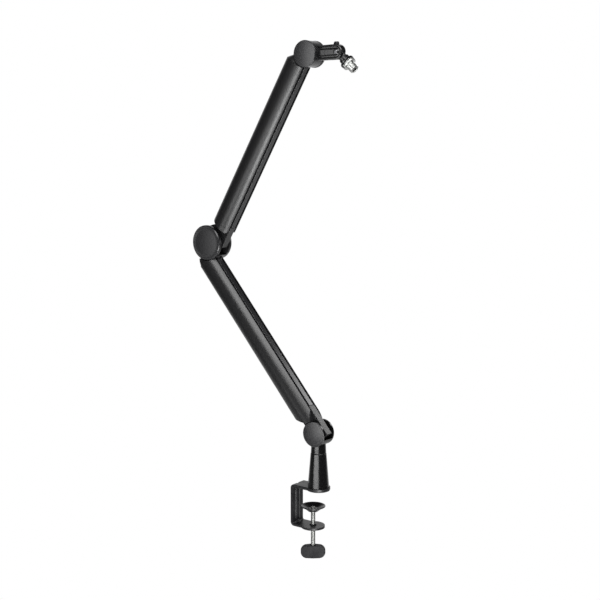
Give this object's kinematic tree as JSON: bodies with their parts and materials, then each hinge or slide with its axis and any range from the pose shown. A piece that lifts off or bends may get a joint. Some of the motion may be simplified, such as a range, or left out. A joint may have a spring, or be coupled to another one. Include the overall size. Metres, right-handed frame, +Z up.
{
  "type": "microphone boom arm",
  "caption": "Desk-clamped folding boom arm of two slotted tubes with round hinge barrels, a swivelling post and a tilting threaded stud for a microphone.",
  "frame": {"origin": "on the swivel axis, in the face of the upper jaw pad that rests on the desk top", "axes": "+Z up along the post, +X from the clamp's back over the desk, arm folding in the XZ plane"},
  "size_m": [0.3485, 0.044, 0.9051],
  "materials": {
    "black_steel_plate": "satin",
    "black_rubber": "matte",
    "zinc_plated_steel": "satin",
    "dark_plastic": "matte",
    "black_coated_aluminium": "powder coat",
    "black_cast_aluminium": "satin paint",
    "black_nylon": "matte",
    "chrome_plate": "polished"
  },
  "bodies": {
    "clamp": {"clamp_frame": "black_steel_plate", "jaw_pad": "black_rubber", "clamp_bush": "black_steel_plate", "post": "black_cast_aluminium", "post_bolt": "zinc_plated_steel"},
    "cup": {"pressure_cup": "black_steel_plate"},
    "screw": {"clamp_screw": "zinc_plated_steel", "clamp_knob": "dark_plastic"},
    "swivel": {"base_yoke": "black_cast_aluminium", "swivel_spindle": "zinc_plated_steel", "swivel_washer": "dark_plastic", "base_cap_front": "dark_plastic", "base_cap_back": "dark_plastic", "base_pivot_pin": "zinc_plated_steel", "base_friction_washers": "black_nylon"},
    "lower_arm": {"lower_knuckle": "black_cast_aluminium", "lower_tube": "black_coated_aluminium", "lower_cable_cover": "dark_plastic", "elbow_yoke": "black_cast_aluminium", "elbow_cap_front": "dark_plastic", "elbow_cap_back": "dark_plastic", "elbow_pivot_pin": "zinc_plated_steel", "elbow_friction_washers": "black_nylon"},
    "upper_arm": {"upper_knuckle": "black_cast_aluminium", "upper_tube": "black_coated_aluminium", "upper_cable_cover": "dark_plastic", "head_yoke": "black_cast_aluminium", "head_cap_front": "dark_plastic", "head_cap_back": "dark_plastic", "head_pivot_pin": "zinc_plated_steel", "head_friction_washers": "black_nylon"},
    "link": {"mount_link": "black_cast_aluminium", "tilt_pin": "zinc_plated_steel"},
    "lock": {"tilt_lock_screw": "dark_plastic"},
    "holder": {"mic_holder": "black_cast_aluminium", "mic_stud": "chrome_plate"},
    "ring": {"stud_ring": "chrome_plate"}
  },
  "joints": [
    {"name": "clamp_travel", "type": "slide", "parent": "clamp", "child": "cup", "axis": [0, 0, 1], "range_m": [-0.021, 0.029]},
    {"name": "screw_spin", "type": "hinge", "parent": "cup", "child": "screw", "pos_m": [-0.0115, 0, -0.1], "axis": [0, 0, 1], "range_deg": [-6060, 8360]},
    {"name": "base_swivel", "type": "hinge", "parent": "clamp", "child": "swivel", "pos_m": [0, 0, 0.0679], "axis": [0, 0, 1], "range_deg": [-180, 180]},
    {"name": "lower_lean", "type": "hinge", "parent": "swivel", "child": "lower_arm", "pos_m": [0, 0, 0.103], "axis": [0, 1, 0], "range_deg": [-28, 22]},
    {"name": "elbow_fold", "type": "hinge", "parent": "lower_arm", "child": "upper_arm", "pos_m": [-0.24021, 0, 0.42382], "axis": [0, 1, 0], "range_deg": [-50, 35]},
    {"name": "head_tilt", "type": "hinge", "parent": "upper_arm", "child": "link", "pos_m": [-0.02018, 0, 0.75506], "axis": [0, 1, 0], "range_deg": [-45, 45]},
    {"name": "lock_turn", "type": "hinge", "parent": "link", "child": "lock", "pos_m": [0.03518, 0, 0.75699], "axis": [-0.0349, 0, 0.9994], "continuous": true},
    {"name": "mic_tilt", "type": "hinge", "parent": "link", "child": "holder", "pos_m": [0.03678, 0, 0.75705], "axis": [0, 1, 0], "range_deg": [-42, 50]},
    {"name": "ring_turn", "type": "hinge", "parent": "holder", "child": "ring", "pos_m": [0.06035, 0, 0.73691], "axis": [0.7604, 0, -0.6494], "continuous": true}
  ],
  "couplings": [
    {"joint": "screw_spin", "follows": "clamp_travel", "rad_per_m": 5026.6}
  ]
}
